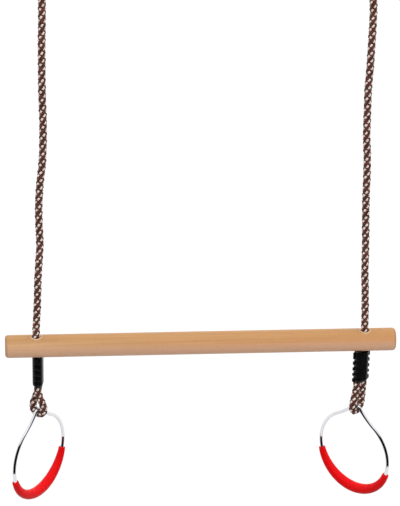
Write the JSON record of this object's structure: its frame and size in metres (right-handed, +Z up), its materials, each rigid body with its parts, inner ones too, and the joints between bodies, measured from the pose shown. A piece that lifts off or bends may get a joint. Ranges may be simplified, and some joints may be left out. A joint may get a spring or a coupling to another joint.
{
  "type": "trapeze bar",
  "caption": "Round wooden trapeze bar hung on braided ropes, with a wire gym ring and its shaped grip hanging in a rope loop below each end.",
  "frame": {"origin": "on the line where two hooks bear, at the inner top of the hanging rings and midway between them", "axes": "+X along the bar to the right, +Y away from the viewer, +Z up the ropes"},
  "size_m": [0.58, 0.1107, 0.9778],
  "materials": {
    "wood": "sanded beech under a thin clear oil, with fine grain along the bar",
    "rope": "coarse braid, dark brown with cream flecks",
    "black_plastic": "moulded, satin",
    "red_plastic": "moulded, glossy",
    "chrome_wire": "bright plated",
    "zinc_steel": "zinc plated, satin"
  },
  "bodies": {
    "hanging_rings": {"left_hanging_ring": "zinc_steel", "right_hanging_ring": "zinc_steel"},
    "trapeze": {"bar": "wood", "left_thimble": "black_plastic", "right_thimble": "black_plastic", "left_rope_eye": "rope", "right_rope_eye": "rope", "left_upper_clamp": "black_plastic", "right_upper_clamp": "black_plastic", "left_rope": "rope", "right_rope": "rope", "left_lower_clamp": "black_plastic", "right_lower_clamp": "black_plastic", "left_rope_tail": "rope", "right_rope_tail": "rope"},
    "left_loop": {"left_rope_loop": "rope"},
    "right_loop": {"right_rope_loop": "rope"},
    "left_ring": {"left_ring_wire": "chrome_wire", "left_grip": "red_plastic"},
    "right_ring": {"right_ring_wire": "chrome_wire", "right_grip": "red_plastic"}
  },
  "joints": [
    {"name": "swing", "type": "hinge", "parent": "hanging_rings", "child": "trapeze", "pos_m": [0, 0, -0.0425], "axis": [1, 0, 0], "range_deg": [-60, 60]},
    {"name": "left_loop_twist", "type": "hinge", "parent": "trapeze", "child": "left_loop", "pos_m": [-0.24167, 0.0053, -0.8213], "axis": [0, 0, 1], "range_deg": [-165, 40]},
    {"name": "right_loop_twist", "type": "hinge", "parent": "trapeze", "child": "right_loop", "pos_m": [0.23621, -0.00448, -0.8213], "axis": [0, 0, 1], "range_deg": [-125, 85]},
    {"name": "left_ring_swing", "type": "hinge", "parent": "left_loop", "child": "left_ring", "pos_m": [-0.24167, 0.0053, -0.8213], "axis": [0.5948, 0.8039, 0], "range_deg": [-90, 90]},
    {"name": "right_ring_swing", "type": "hinge", "parent": "right_loop", "child": "right_ring", "pos_m": [0.23621, -0.00448, -0.8213], "axis": [-0.7145, 0.6997, 0], "range_deg": [-90, 90]}
  ]
}
